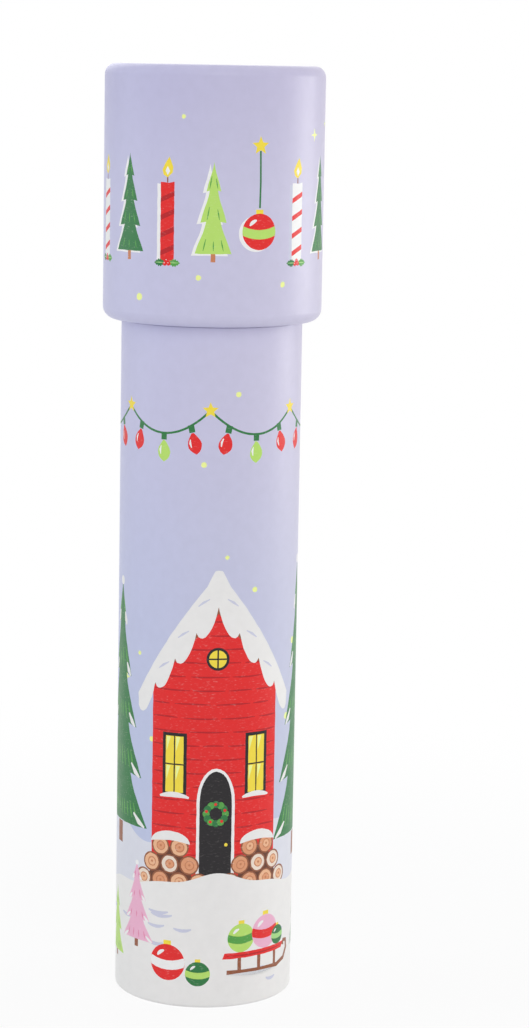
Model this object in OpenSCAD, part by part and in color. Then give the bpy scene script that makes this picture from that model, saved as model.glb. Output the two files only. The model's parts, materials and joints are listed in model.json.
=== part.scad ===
// Turning-head tinplate kaleidoscope, standing on its eyepiece rim.
// The origin is the centre of the rim that it stands on, +Z runs along the tube to the turning head,
// and the lock seams of both tin shells are at the back, on +Y. All sizes are in millimetres.

/* [Overall] */
// Length from the eyepiece rim to the top of the head
overall_len = 215; // [190:1:240]
// Thickness of the tinplate
tin_t = 0.3; // [0.2:0.05:0.45]
// Clearance of pieces that are stacked or pushed into a shell
slip = 0.15; // [0.1:0.05:0.3]
// Clearance between pieces that turn past each other
run = 0.3; // [0.2:0.05:0.5]
// Clearance of rings that are pressed onto the tube
press = 0.05; // [0.02:0.01:0.1]

/* [Head shell] */
// Outer diameter of the turning head
head_d = 50; // [42:0.5:58]
// Length of the turning head
head_len = 57.5; // [45:0.5:70]
// Outer radius of the head's top edge
head_top_r = 2.5; // [1.5:0.1:3.5]
// Outer radius of the head's lower shoulder
head_shoulder_r = 2.8; // [1.5:0.1:3.2]
// Flat width of the lip turned in over the end window
window_lip = 2.6; // [1.5:0.1:4]
// Height of the hem on the lower lip, which turns on the tube
lip_hem_h = 1; // [0.6:0.1:2]
// Wall of the card liner inside the head
liner_t = 1.5; // [1:0.1:2]

/* [Body tube] */
// Step from the head's outside in to the tube's outside
head_step = 4.3; // [3.5:0.1:6]
// Step by which the tube is necked in under the head
neck_step = 0.3; // [0.2:0.05:0.6]
// Outer radius of the rolled rim at the eyepiece end
rim_r = 0.9; // [0.6:0.1:2]
// Flat width of the lip turned in under the eyepiece
rim_lip = 1.6; // [1:0.1:2.4]
// Width of the folded lock seam inside each tin shell
seam_w = 4; // [3:0.5:6]
// Length at each end of a tin shell where its seam is only lapped
seam_end = 10; // [9.6:0.1:14]
// Width of the seam's line on the outside
seam_line_w = 0.4; // [0.2:0.1:0.8]
// Depth of the seam's line on the outside
seam_line_d = 0.12; // [0.06:0.02:0.16]

/* [Eyepiece] */
// Diameter of the peephole
peephole_d = 12; // [8:0.5:16]
// Width of the hem folded back around the peephole
peephole_hem = 1.2; // [0.8:0.1:2]
// Depth of the dish that holds the peephole
dish_depth = 3; // [1.5:0.1:4]
// Diameter of the dish
dish_d = 28; // [22:0.5:32]
// Height of the eyepiece's skirt in the tube
skirt_h = 6; // [5.2:0.1:6.2]
// Thickness of the eyepiece's clear window
eyepiece_window_t = 1; // [0.6:0.1:1.5]

/* [Mirrors] */
// Narrowest wall of a mirror card, at the corners of the mirrors
card_wall = 2.3; // [1:0.1:6]
// Thickness of one mirror strip
mirror_t = 1.5; // [1:0.1:2]
// Width of a tape band round the mirrors
tape_w = 12; // [8:1:20]
// Thickness of a tape band
tape_t = 0.2; // [0.1:0.05:0.4]
// Distance from each end of the mirrors to its tape band
tape_inset = 28; // [18:1:40]
// Thickness of a card that centres the mirrors
card_t = 3; // [2:0.1:3.2]
// Distance from the top of the mirrors to the upper card
card_inset = 6; // [2:0.5:10]
// Thickness of the clear window at the tube's upper end
tube_window_t = 1; // [0.6:0.1:1.5]

/* [Collars] */
// Height of a plastic collar on the tube
collar_h = 7; // [5:0.5:12]
// Thickness of the flange that closes the end collar
collar_flange_t = 1.2; // [0.8:0.1:2]
// Margin of the end collar's hole round the corners of the mirrors
collar_margin = 0.5; // [0.2:0.1:1]

/* [Object case] */
// Depth of the chamber that holds the loose pieces
chamber_depth = 9; // [7:0.5:14]
// Wall of the clear case
case_wall = 1.2; // [0.8:0.1:2]
// Floor of the clear case
case_floor = 1.2; // [0.8:0.1:2]
// Thickness of the frosted lid
lid_t = 1.5; // [1:0.1:2]

/* [Loose pieces] */
// Spread of the loose pieces over the case's floor
piece_spread = 3.1; // [3.1:0.1:3.6]
// Diameter of a round bead
round_d = 4.4; // [3:0.1:4.6]
// Diameter of a gem across its girdle
gem_d = 4.4; // [3:0.1:4.6]
// Height of a gem
gem_h = 3.4; // [2:0.1:4]
// Diameter of a star across its points
star_d = 4.6; // [3:0.1:4.6]
// Thickness of a star
star_t = 1.8; // [0.8:0.1:2.4]
// Length of a tube bead
bugle_len = 4.2; // [3:0.1:4.4]
// Diameter of a tube bead
bugle_d = 1.9; // [1.4:0.1:2.2]
// Diameter of the hole through a bead
bead_hole_d = 0.9; // [0.5:0.1:1.1]
// Outer diameter of a ring
ring_d = 4.4; // [3.2:0.1:4.6]
// Thickness of a ring
ring_t = 1.2; // [0.8:0.1:1.5]
// Length of a chip from point to point
chip_len = 4.4; // [3:0.1:4.6]
// Width of a chip
chip_w = 2.8; // [1.8:0.1:3.6]
// Thickness of a chip
chip_t = 0.8; // [0.5:0.1:1.5]
// Diameter of a pearl
pearl_d = 2.4; // [1.6:0.1:3]
// Gap under a piece that lies on the case's floor
piece_gap = 0.05; // [0.02:0.01:0.1]

/* [Hidden] */
$fn = 96;

// Radii of the two shells
head_r = head_d / 2;
head_in = head_r - tin_t;
tube_r = head_r - head_step;
tube_in = tube_r - tin_t;
neck_r = tube_r - neck_step;
neck_in = neck_r - tin_t;
lip_r = neck_r + run;
window_r = head_r - head_top_r - window_lip;
base_hole_r = tube_r - rim_r - rim_lip;
seam_t = 2 * tin_t;

// Heights in the head, from its top down to its lower lip
head_z = overall_len - head_len;
lid_top_z = overall_len - tin_t;
lid_plate_z = lid_top_z - lid_t;
case_top_z = min(overall_len - head_top_r - slip, lid_plate_z);
chamber_z = lid_plate_z - chamber_depth;
case_z = chamber_z - case_floor;
liner_z = head_z + head_shoulder_r;
lip_top_z = head_z + tin_t + lip_hem_h;

// Radii in the head, from the liner in to the collars on the tube, and those of the case
liner_r = head_in - slip;
liner_in = liner_r - liner_t;
collar_r = liner_in - run;
collar_bore_r = neck_r + press;
case_r = head_in - slip;
chamber_r = case_r - case_wall;
lid_top_r = head_r - head_top_r - slip;

// Heights in the tube, from the eyepiece rim up to the end collar
eyepiece_z = tin_t;
plate_z = eyepiece_z + dish_depth;
eyepiece_window_z = plate_z + 2 * tin_t;
mirror_z = eyepiece_window_z + eyepiece_window_t;
lower_card_z = eyepiece_z + skirt_h;
end_flange_top_z = case_z - run;
tube_top_z = end_flange_top_z - collar_flange_t;
tube_window_z = tube_top_z - tube_window_t;
mirror_top_z = tube_window_z - slip;
mirror_len = mirror_top_z - mirror_z;
upper_card_z = mirror_top_z - card_inset - card_t;
neck_z = head_z - run;

// Radii in the tube
cup_r = tube_in - slip;
eyepiece_window_r = cup_r - tin_t - slip;
tube_window_r = neck_in - slip;

// Three mirrors whose inner edges meet, as wide as lets their outer corners clear the card's narrowest wall
MIRRORS = 3;
BACKWARD = 90;
MIRROR_TURN = 360 / MIRRORS;
SIDE_TURN = MIRROR_TURN / 2;
corner_r = neck_in - 2 * slip - card_wall;
corner_reach = sqrt(corner_r ^ 2 - (mirror_t * sin(SIDE_TURN)) ^ 2) - mirror_t * cos(SIDE_TURN);
mirror_w = 2 * corner_reach * sin(SIDE_TURN);

// The mirrors' backs, and the line across the gap between two of them, as distances from the axis
mirror_face = mirror_w / 2 / tan(SIDE_TURN);
mirror_back = mirror_face + mirror_t;
mirror_corner = mirror_back * cos(SIDE_TURN) + mirror_w / 2 * sin(SIDE_TURN);

// The end collar's hole, clear of the corners where two mirrors meet
collar_hole_r = mirror_face / cos(SIDE_TURN) + collar_margin;

// Loose pieces: a sunflower spiral shares out the floor, and a second irrational step shares out the kinds
GOLDEN_ANGLE = 137.508;
KIND_STEP = 0.7549;
TURN_STEP = 77;
KINDS = ["round_beads", "gem_beads", "star_beads", "bugle_beads", "ring_beads", "chip_pieces", "pearl_beads"];
widest_piece = max(round_d, gem_d, star_d, ring_d, chip_len, sqrt(bugle_len ^ 2 + bugle_d ^ 2));
piece_floor_z = chamber_z + piece_gap;
piece_reach = chamber_r - widest_piece / 2 - run;
piece_count = floor((piece_reach / piece_spread) ^ 2 - 0.5) + 1;
function fraction(x) = x - floor(x);
function spot_radius(i) = piece_spread * sqrt(i + 0.5);
function kind_of(i) = floor(len(KINDS) * fraction(i * KIND_STEP));

// Half section of a drum from the axis out to r, with its outer corners rounded; a radius of 0 is square
module drum_section(r, z0, z1, low_r, high_r) {
    translate([0, z0 + low_r]) square([r, z1 - z0 - low_r - high_r]);
    if (low_r > 0) rounded_end(r, z0 + low_r, low_r, z0);
    if (high_r > 0) rounded_end(r, z1 - high_r, high_r, z1 - high_r);
}

// One rounded end of a drum section: the flat up to the corner, and the corner's circle
module rounded_end(r, centre_z, corner_r, flat_z) {
    translate([0, flat_z]) square([r - corner_r, corner_r]);
    translate([r - corner_r, centre_z]) circle(corner_r);
}

// Flat ring, or disc when the bore is 0, from z0 up
module ring(r, bore_r, z0, h) {
    translate([0, 0, z0]) difference() {
        cylinder(r = r, h = h);
        if (bore_r > 0) translate([0, 0, -h]) cylinder(r = bore_r, h = 3 * h);
    }
}

// Folded lock seam inside a tin shell at the back, from z0 to z1
module seam_fold(wall_in, z0, z1) {
    intersection() {
        translate([-seam_w / 2, 0, z0]) cube([seam_w, wall_in + tin_t / 2, z1 - z0]);
        ring(wall_in + tin_t / 2, wall_in - seam_t, z0, z1 - z0);
    }
}

// Fine line that the seam leaves on the outside of a tin shell
module seam_line(wall_r, z0, z1) {
    translate([-seam_line_w / 2, wall_r - seam_line_d, z0])
        cube([seam_line_w, 2 * seam_line_d + tin_t, z1 - z0]);
}

// Outline round the three mirrors, grown by a margin: six lines, whose distances from the axis alternate
function crossing(a1, d1, a2, d2) =
    [d1 * sin(a2) - d2 * sin(a1), d2 * cos(a1) - d1 * cos(a2)] / sin(a2 - a1);
function mirror_outline(margin) = [
    for (side = [0:2 * MIRRORS - 1])
        let (a = BACKWARD + SIDE_TURN * side, back = mirror_back + margin, corner = mirror_corner + margin)
        side % 2 == 0
            ? crossing(a, back, a + SIDE_TURN, corner)
            : crossing(a, corner, a + SIDE_TURN, back)
];

module body_tube() {
    straight_z0 = rim_r;
    color([0.77, 0.75, 0.87]) difference() {
        union() {
            rotate_extrude() difference() {
                union() {
                    drum_section(tube_r, 0, neck_z, rim_r, 0);
                    translate([0, neck_z - tin_t]) square([neck_r, tube_top_z - neck_z + tin_t]);
                }
                drum_section(tube_in, tin_t, neck_z - tin_t, rim_r - tin_t, 0);
                translate([0, neck_z - 2 * tin_t]) square([neck_in, tube_top_z - neck_z + 3 * tin_t]);
                translate([0, -tin_t]) square([base_hole_r, 3 * tin_t]);
            }
            seam_fold(tube_in, seam_end, neck_z - seam_end);
        }
        seam_line(tube_r, straight_z0, neck_z + tin_t);
    }
}

// Drawn tin cup that closes the eyepiece end, with a raised plate and a hemmed peephole
module eyepiece_disc() {
    dish_r = dish_d / 2;
    peephole_r = peephole_d / 2;
    cup_top_z = eyepiece_z + skirt_h;
    color([0.8, 0.8, 0.82]) rotate_extrude() {
        difference() {
            drum_section(cup_r, eyepiece_z, cup_top_z, rim_r, 0);
            drum_section(cup_r - tin_t, eyepiece_z + tin_t, cup_top_z + tin_t, rim_r - tin_t, 0);
            translate([0, eyepiece_z - tin_t]) square([dish_r, 3 * tin_t]);
        }
        translate([dish_r, eyepiece_z]) square([tin_t, dish_depth + tin_t]);
        translate([peephole_r, plate_z]) square([dish_r + tin_t - peephole_r, tin_t]);
        translate([peephole_r, plate_z]) square([peephole_hem, 2 * tin_t]);
    }
}

module eyepiece_window() {
    color([0.85, 0.92, 0.95, 0.4]) ring(eyepiece_window_r, 0, eyepiece_window_z, eyepiece_window_t);
}

// Card disc with a hole that the three mirrors stand in
module mirror_card(r, z0) {
    color([0.66, 0.6, 0.52]) translate([0, 0, z0]) linear_extrude(card_t) difference() {
        circle(r);
        polygon(mirror_outline(slip));
    }
}

module lower_mirror_card() {
    mirror_card(tube_in - slip, lower_card_z);
}

module upper_mirror_card() {
    mirror_card(neck_in - slip, upper_card_z);
}

// One mirror strip, facing the axis, turned to its place round it
module mirror_strip(turn) {
    color([0.88, 0.9, 0.92]) rotate(turn)
        translate([-mirror_w / 2, mirror_face, mirror_z]) cube([mirror_w, mirror_t, mirror_len]);
}

module mirror_back_strip() {
    mirror_strip(0);
}

module mirror_left_strip() {
    mirror_strip(MIRROR_TURN);
}

module mirror_right_strip() {
    mirror_strip(2 * MIRROR_TURN);
}

// Paper tape wound round the three mirrors
module mirror_tape(z0) {
    color([0.9, 0.86, 0.74]) translate([0, 0, z0]) linear_extrude(tape_w) difference() {
        polygon(mirror_outline(press + tape_t));
        polygon(mirror_outline(press));
    }
}

module lower_mirror_tape() {
    mirror_tape(mirror_z + tape_inset);
}

module upper_mirror_tape() {
    mirror_tape(mirror_top_z - tape_inset - tape_w);
}

module tube_window() {
    color([0.85, 0.92, 0.95, 0.4]) ring(tube_window_r, 0, tube_window_z, tube_window_t);
}

// Plastic cap on the tube's upper end: it holds the tube's window in, and the head turns round it
module end_collar() {
    color([0.94, 0.94, 0.95]) union() {
        ring(collar_r, collar_bore_r, tube_top_z - collar_h, collar_h);
        ring(collar_r, collar_hole_r, tube_top_z, collar_flange_t);
    }
}

// Plastic ring pressed onto the tube above the head's lip, so that the head can't pull off
module retaining_collar() {
    color([0.94, 0.94, 0.95]) ring(collar_r, collar_bore_r, lip_top_z + run, collar_h);
}

// Tin drum with both ends rolled in: over the end window at the top, and round the tube below
module head_shell() {
    color([0.77, 0.75, 0.87]) difference() {
        union() {
            rotate_extrude() {
                difference() {
                    drum_section(head_r, head_z, overall_len, head_shoulder_r, head_top_r);
                    drum_section(
                        head_in, head_z + tin_t, overall_len - tin_t,
                        head_shoulder_r - tin_t, head_top_r - tin_t
                    );
                    translate([0, head_z - tin_t]) square([lip_r, 3 * tin_t]);
                    translate([0, overall_len - 2 * tin_t]) square([window_r, 3 * tin_t]);
                }
                translate([lip_r, head_z]) square([tin_t, lip_top_z - head_z]);
            }
            seam_fold(head_in, liner_z + tin_t, case_z - seam_w);
        }
        seam_line(head_r, head_z + head_shoulder_r, overall_len - head_top_r);
    }
}

// Rolled card sleeve between the head's shoulder and the case, split at the back to clear the seam
module head_liner() {
    slit_w = seam_w + 2 * run;
    color([0.66, 0.6, 0.52]) difference() {
        ring(liner_r, liner_in, liner_z, case_z - liner_z);
        translate([-slit_w / 2, 0, liner_z - run]) cube([slit_w, head_r, case_z - liner_z + 2 * run]);
    }
}

// Clear cup that holds the loose pieces
module object_case() {
    color([0.85, 0.92, 0.95, 0.4]) difference() {
        ring(case_r, 0, case_z, case_top_z - case_z);
        ring(chamber_r, 0, chamber_z, case_top_z - chamber_z + case_floor);
    }
}

// Frosted end window: a plate with a rim that stands on the case, sloped to clear the head's rolled top
module frosted_lid() {
    color([0.95, 0.95, 0.97, 0.8]) rotate_extrude() polygon([
        [0, lid_plate_z], [chamber_r, lid_plate_z], [chamber_r, case_top_z],
        [case_r, case_top_z], [lid_top_r, lid_top_z], [0, lid_top_z]
    ]);
}

// Every piece of one kind, each at its own spot on the floor of the case and turned its own way
module scatter(kind) {
    for (i = [0:piece_count - 1])
        if (KINDS[kind_of(i)] == kind)
            rotate(i * GOLDEN_ANGLE) translate([spot_radius(i), 0, piece_floor_z])
                rotate(i * TURN_STEP) children();
}

module round_beads() {
    color([0.86, 0.12, 0.16]) scatter("round_beads") translate([0, 0, round_d / 2]) difference() {
        sphere(d = round_d);
        rotate([90, 0, 0]) cylinder(d = bead_hole_d, h = 2 * round_d, center = true);
    }
}

// Gem with a pointed base, an eight-sided girdle and a flat table
module gem_beads() {
    GEM_SIDES = 8;
    CULET_SHARE = 0.25;
    TABLE_SHARE = 0.6;
    GIRDLE_SHARE = 0.6;
    girdle_z = gem_h * GIRDLE_SHARE;
    color([0.13, 0.45, 0.85]) scatter("gem_beads") {
        cylinder(d1 = gem_d * CULET_SHARE, d2 = gem_d, h = girdle_z, $fn = GEM_SIDES);
        translate([0, 0, girdle_z])
            cylinder(d1 = gem_d, d2 = gem_d * TABLE_SHARE, h = gem_h - girdle_z, $fn = GEM_SIDES);
    }
}

module star_beads() {
    STAR_POINTS = 5;
    INNER_SHARE = 0.5;
    color([0.98, 0.83, 0.2]) scatter("star_beads") linear_extrude(star_t) polygon([
        for (k = [0:2 * STAR_POINTS - 1])
            let (r = star_d / 2 * (k % 2 == 0 ? 1 : INNER_SHARE), a = k * 180 / STAR_POINTS)
            r * [cos(a), sin(a)]
    ]);
}

module bugle_beads() {
    color([0.2, 0.62, 0.3]) scatter("bugle_beads") translate([0, 0, bugle_d / 2]) rotate([0, 90, 0])
        difference() {
            cylinder(d = bugle_d, h = bugle_len, center = true);
            cylinder(d = bead_hole_d, h = 2 * bugle_len, center = true);
        }
}

module ring_beads() {
    color([0.93, 0.45, 0.68]) scatter("ring_beads") translate([0, 0, ring_t / 2])
        rotate_extrude() translate([(ring_d - ring_t) / 2, 0]) circle(d = ring_t);
}

module chip_pieces() {
    color([0.52, 0.32, 0.78]) scatter("chip_pieces") linear_extrude(chip_t)
        polygon([[-chip_len / 2, 0], [0, -chip_w / 2], [chip_len / 2, 0], [0, chip_w / 2]]);
}

module pearl_beads() {
    color([0.95, 0.94, 0.9]) scatter("pearl_beads") translate([0, 0, pearl_d / 2]) sphere(d = pearl_d);
}

body_tube();
eyepiece_disc();
eyepiece_window();
lower_mirror_card();
upper_mirror_card();
mirror_back_strip();
mirror_left_strip();
mirror_right_strip();
lower_mirror_tape();
upper_mirror_tape();
tube_window();
end_collar();
retaining_collar();
head_shell();
head_liner();
object_case();
frosted_lid();
round_beads();
gem_beads();
star_beads();
bugle_beads();
ring_beads();
chip_pieces();
pearl_beads();
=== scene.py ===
# %% [markdown]
# # A tin kaleidoscope
# A slim tin tube stands on its eyepiece end, and a wider tin drum turns on top of it. Both are rolled
# from printed tinplate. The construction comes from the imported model, which this lesson loads as a fixed
# frame; what is made here is the looks: the printed skins, and a finish for every piece inside.

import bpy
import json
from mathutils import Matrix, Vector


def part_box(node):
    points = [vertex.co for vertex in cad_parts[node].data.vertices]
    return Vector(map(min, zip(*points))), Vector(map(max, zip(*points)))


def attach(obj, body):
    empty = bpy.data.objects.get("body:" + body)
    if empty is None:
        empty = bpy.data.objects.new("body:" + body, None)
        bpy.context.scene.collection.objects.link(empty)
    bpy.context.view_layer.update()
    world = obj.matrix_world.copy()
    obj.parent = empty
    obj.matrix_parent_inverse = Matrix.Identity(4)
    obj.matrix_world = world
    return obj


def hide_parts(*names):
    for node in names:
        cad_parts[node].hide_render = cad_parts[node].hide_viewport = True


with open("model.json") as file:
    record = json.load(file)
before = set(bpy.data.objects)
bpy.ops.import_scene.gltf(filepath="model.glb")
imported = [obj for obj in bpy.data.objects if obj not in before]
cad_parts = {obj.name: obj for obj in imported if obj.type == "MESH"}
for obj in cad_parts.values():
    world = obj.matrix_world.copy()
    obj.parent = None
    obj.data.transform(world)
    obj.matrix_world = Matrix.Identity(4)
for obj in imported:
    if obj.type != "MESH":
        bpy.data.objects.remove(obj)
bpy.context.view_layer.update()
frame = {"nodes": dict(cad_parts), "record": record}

# %% Tools of this lesson
import json
import math
import random

import bpy
import numpy as np
from mathutils import Matrix, Vector
from mathutils.geometry import delaunay_2d_cdt

MM = 0.001

# %% [markdown]
# ## Measure the two shells
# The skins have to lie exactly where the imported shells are, so their radii and heights are read from the
# frame. Only what a box can't tell is written down, in millimetres: the sheet's thickness, the rolled
# corners, the lips, the neck, the hem and the seam.

# %% Measure the two shells
def radius_and_heights(node):
    """A shell's outer radius, its lowest and its highest point, in millimetres."""
    low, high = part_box(node)
    radius = max(high[0], -low[0], high[1], -low[1])
    return tuple(round(size / MM, 2) for size in (radius, low[2], high[2]))


TIN = 0.3
TUBE_R, FOOT_Z, TUBE_TOP_Z = radius_and_heights("body_tube")
HEAD_R, HEAD_Z, HEAD_TOP_Z = radius_and_heights("head_shell")
RIM_R = 0.9
RIM_LIP = 1.6
NECK_STEP = 0.3
NECK_Z = HEAD_Z - 0.3
HEAD_TOP_R = 2.5
HEAD_SHOULDER_R = 2.8
WINDOW_LIP_R = 19.9
HEM_H = 1.0
SEAM_W = 4.0
SEAM_LINE_W = 0.4
SEAM_LINE_DEPTH = 0.12
print("tube", TUBE_R, FOOT_Z, TUBE_TOP_Z, " head", HEAD_R, HEAD_Z, HEAD_TOP_Z)

# %% [markdown]
# ## The camera
# The photograph was taken from the height of the toy's top, looking slightly down, with a long lens, and
# the camera was held a degree off level. A camera can be aimed with a constraint, but a slight roll is
# easier to give by building its three axes: forward, right and up.

# %% Camera
CAMERA_DISTANCE = 0.6509
CAMERA_HEIGHT = 0.215
PITCH_DOWN, YAW_RIGHT, ROLL = (math.radians(a) for a in (8.958, 1.127, 1.007))
SENSOR = 36.0
FOCAL_PX, FRAME_H_PX = 2844.9, 1028


def aimed(place, pitch, yaw, roll):
    """A camera's matrix from its place and the three angles by which it is turned from looking along +Y."""
    forward = Vector((math.sin(yaw) * math.cos(pitch), math.cos(yaw) * math.cos(pitch), -math.sin(pitch)))
    right = Vector((math.cos(yaw), -math.sin(yaw), 0))
    up = right.cross(forward)
    axis_x = math.cos(roll) * right + math.sin(roll) * up
    axis_y = math.cos(roll) * up - math.sin(roll) * right
    columns = Matrix((axis_x, axis_y, -forward)).transposed().to_4x4()
    return Matrix.Translation(place) @ columns


lens = bpy.data.cameras.new("camera")
lens.sensor_fit = "VERTICAL"
lens.sensor_height = SENSOR
lens.lens = FOCAL_PX / FRAME_H_PX * SENSOR
camera = bpy.data.objects.new("camera", lens)
camera.matrix_world = aimed((0, -CAMERA_DISTANCE, CAMERA_HEIGHT), PITCH_DOWN, YAW_RIGHT, ROLL)
bpy.context.scene.collection.objects.link(camera)
bpy.context.scene.camera = camera
print("lens", round(lens.lens, 2), "mm")

# %% [markdown]
# ## Light and floor
# A catalogue photograph of a satin tin toy is lit from all round, with one window-like light at the side
# that lays a pale veil over the inks near the right edge. A varnish shows a lamp where it mirrors it, so
# that lamp stands a little behind the toy, at the height of the head, and is small: a large one would
# light the wall more than it glints. The world gives the even light, four large lamps give the shape, and
# the floor is white with a faint shadow. Nodes can be added by hand in the shader editor; here one helper
# adds a node, sets it and links it.

# %% World and lamps
WHITE = (1, 1, 1, 1)
EVEN_LIGHT = 0.5
MIDDLE = (0, 0, 0.11)
HEAD_MIDDLE = (0, 0, 0.18)


def wire(tree, kind, inputs=None, **settings):
    """A new shader node with these settings. An input is a value, or another node's socket to link to."""
    node = tree.nodes.new("ShaderNode" + kind)
    for key, value in settings.items():
        setattr(node, key, value)
    for socket, value in (inputs or {}).items():
        if isinstance(value, bpy.types.NodeSocket):
            tree.links.new(value, node.inputs[socket])
        else:
            node.inputs[socket].default_value = value
    return node


def seen_directly(tree):
    """1 for a ray that shows a surface as background, to the camera, in gloss or through glass, else 0."""
    path = wire(tree, "LightPath").outputs
    gloss = wire(tree, "Math", {0: path["Is Camera Ray"], 1: path["Is Glossy Ray"]}, operation="MAXIMUM")
    glass = wire(tree, "Math", {0: gloss.outputs[0], 1: path["Is Transmission Ray"]}, operation="MAXIMUM")
    return glass.outputs[0]


def light_the_world():
    world = bpy.data.worlds.new("studio")
    bpy.context.scene.world = world
    world.use_nodes = True
    tree = world.node_tree
    even = tree.nodes["Background"]
    even.inputs["Color"].default_value = WHITE
    even.inputs["Strength"].default_value = EVEN_LIGHT
    white = wire(tree, "Background", {"Color": WHITE})
    mix = wire(tree, "MixShader", {"Fac": seen_directly(tree), 1: even.outputs[0], 2: white.outputs[0]})
    tree.links.new(mix.outputs[0], tree.nodes["World Output"].inputs["Surface"])


def lamp(name, place, target, size, power, colour=WHITE[:3]):
    """A rectangular soft box: width and height in metres, power in watts."""
    light = bpy.data.lights.new(name, "AREA")
    light.shape = "RECTANGLE"
    light.size, light.size_y = size
    light.energy = power
    light.color = colour
    box = bpy.data.objects.new(name, light)
    box.location = place
    box.rotation_euler = (Vector(target) - Vector(place)).to_track_quat("-Z", "Y").to_euler()
    bpy.context.scene.collection.objects.link(box)


light_the_world()
lamp("window_lamp", (0.78, 0.24, 0.18), HEAD_MIDDLE, (0.42, 0.24), 1.72, (1, 0.99, 0.95))
lamp("sky_lamp", (-0.85, 0.05, 0.3), MIDDLE, (0.6, 0.9), 1.8, (0.9, 0.97, 1))
lamp("front_lamp", (0.18, -1.1, 0.75), MIDDLE, (0.9, 0.9), 4.85)
lamp("back_lamp", (-0.2, 1.1, 0.75), MIDDLE, (0.9, 0.9), 2.4)
lamp("top_lamp", (0.1, 0.05, 1.1), MIDDLE, (0.8, 0.8), 1.4)
bpy.context.scene.view_settings.view_transform = "Standard"
print("lamps:", [light.name for light in bpy.data.lights])

# %% Floor
FLOOR_R = 4.0
FLOOR_DROP = 0.0002
FLOOR_HOLE_R = (TUBE_R - RIM_R / 2) * MM
FLOOR_SIDES = 96
PAPER = (0.86, 0.86, 0.87, 1)
SHADOW_SHARE = 0.12
SHADOW_REACH = (0.06, 0.3)


def white_floor():
    """Matt white paper that looks white, keeps a faint shadow near the object and is clear from below."""
    material = bpy.data.materials.new("white_floor")
    material.use_nodes = True
    tree = material.node_tree
    tree.nodes.remove(tree.nodes["Principled BSDF"])
    place = wire(tree, "NewGeometry").outputs
    distance = wire(tree, "VectorMath", {0: place["Position"]}, operation="LENGTH").outputs["Value"]
    reach = {"Value": distance, "From Min": SHADOW_REACH[0], "From Max": SHADOW_REACH[1]}
    shares = {"To Min": 1 - SHADOW_SHARE, "To Max": 1}
    fade = wire(tree, "MapRange", {**reach, **shares}, interpolation_type="SMOOTHSTEP")
    share = wire(tree, "Math", {0: seen_directly(tree), 1: fade.outputs["Result"]}, operation="MULTIPLY")
    paper, glow = wire(tree, "BsdfDiffuse", {"Color": PAPER}), wire(tree, "Emission")
    white = wire(tree, "MixShader", {"Fac": share.outputs[0], 1: paper.outputs[0], 2: glow.outputs[0]})
    clear = wire(tree, "BsdfTransparent")
    sides = wire(tree, "MixShader", {"Fac": place["Backfacing"], 1: white.outputs[0], 2: clear.outputs[0]})
    tree.links.new(sides.outputs[0], tree.nodes["Material Output"].inputs["Surface"])
    return material


def lay_floor():
    """A wide ring, open right under the tube, so that the eyepiece end gets light in views from below."""
    turns = [math.tau * k / FLOOR_SIDES for k in range(FLOOR_SIDES)]
    rings = [(r, a) for r in (FLOOR_HOLE_R, FLOOR_R) for a in turns]
    points = [(r * math.cos(a), r * math.sin(a), -FLOOR_DROP) for r, a in rings]
    following = [(k + 1) % FLOOR_SIDES for k in range(FLOOR_SIDES)]
    faces = [(k, k + FLOOR_SIDES, n + FLOOR_SIDES, n) for k, n in enumerate(following)]
    mesh = bpy.data.meshes.new("floor")
    mesh.from_pydata(points, [], faces)
    mesh.materials.append(white_floor())
    floor = bpy.data.objects.new("floor", mesh)
    bpy.context.scene.collection.objects.link(floor)
    print("floor:", FLOOR_R, "m, hole", round(FLOOR_HOLE_R / MM, 2), "mm")


lay_floor()

# %% [markdown]
# ## The inks
# Tin is printed flat, one ink after another, before it is cut and rolled. The sheet here works the same
# way: every motif is an outline filled with one ink, and a later outline covers an earlier one. An image
# texture would be the usual way, but outlines cut into the mesh stay sharp at any distance.

# %% Inks
# Colours as a paint chart gives them, 0 to 255.
INKS = {
    # The sky ink for the top of the head is darker: painted shade.
    "shaded_top_sky": (198, 195, 225), "sky": (206, 204, 231), "low_sky": (198, 205, 232),
    "snow": (241, 240, 239), "far_snow": (225, 227, 238), "shade": (208, 210, 230),
    "white": (246, 246, 246), "black": (34, 31, 34), "dot": (246, 255, 161), "yellow": (250, 226, 74),
    "red": (233, 42, 42), "dark_red": (188, 31, 38), "rose": (232, 140, 178), "pink": (242, 184, 212),
    "fir": (48, 122, 68), "leaf": (88, 164, 74), "lime": (188, 228, 112), "pale_green": (168, 220, 138),
    "peach": (241, 188, 148), "clay": (228, 160, 120), "cream": (243, 226, 210),
    "brown": (204, 130, 92), "umber": (150, 90, 62), "bark": (104, 62, 46),
}
# How much the brush ran dry in an ink, from 0, an even coat, to 1.
DRY_BRUSH = {
    "snow": 0.15, "red": 0.4, "dark_red": 0.3, "fir": 0.5, "leaf": 0.5, "lime": 0.4, "pink": 0.5,
    "peach": 0.8, "clay": 0.8, "cream": 0.5, "brown": 0.8, "umber": 0.6, "shade": 0.3, "black": 0.15,
}


def linear(rgb):
    """A chart colour in Blender's linear light."""
    share = np.array(rgb) / 255
    return np.where(share <= 0.04045, share / 12.92, ((share + 0.055) / 1.055) ** 2.4)


LIGHT_OF_INK = {name: linear(rgb) for name, rgb in INKS.items()}
print("inks:", len(INKS))

# %% [markdown]
# ## The flat sheet
# A sheet keeps its layers in order. Places on it are millimetres: u along the wall, with 0 at the front,
# and z up the wall. Curve objects could hold the outlines, but plain lists of points are easier to cut
# and to roll. The hand that draws shakes a little, so that edges look painted and not cut by a machine,
# and each sheet has a hand of its own, so that a change on one leaves the other as it was.

# %% The flat sheet
WHOLE = math.inf


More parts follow.
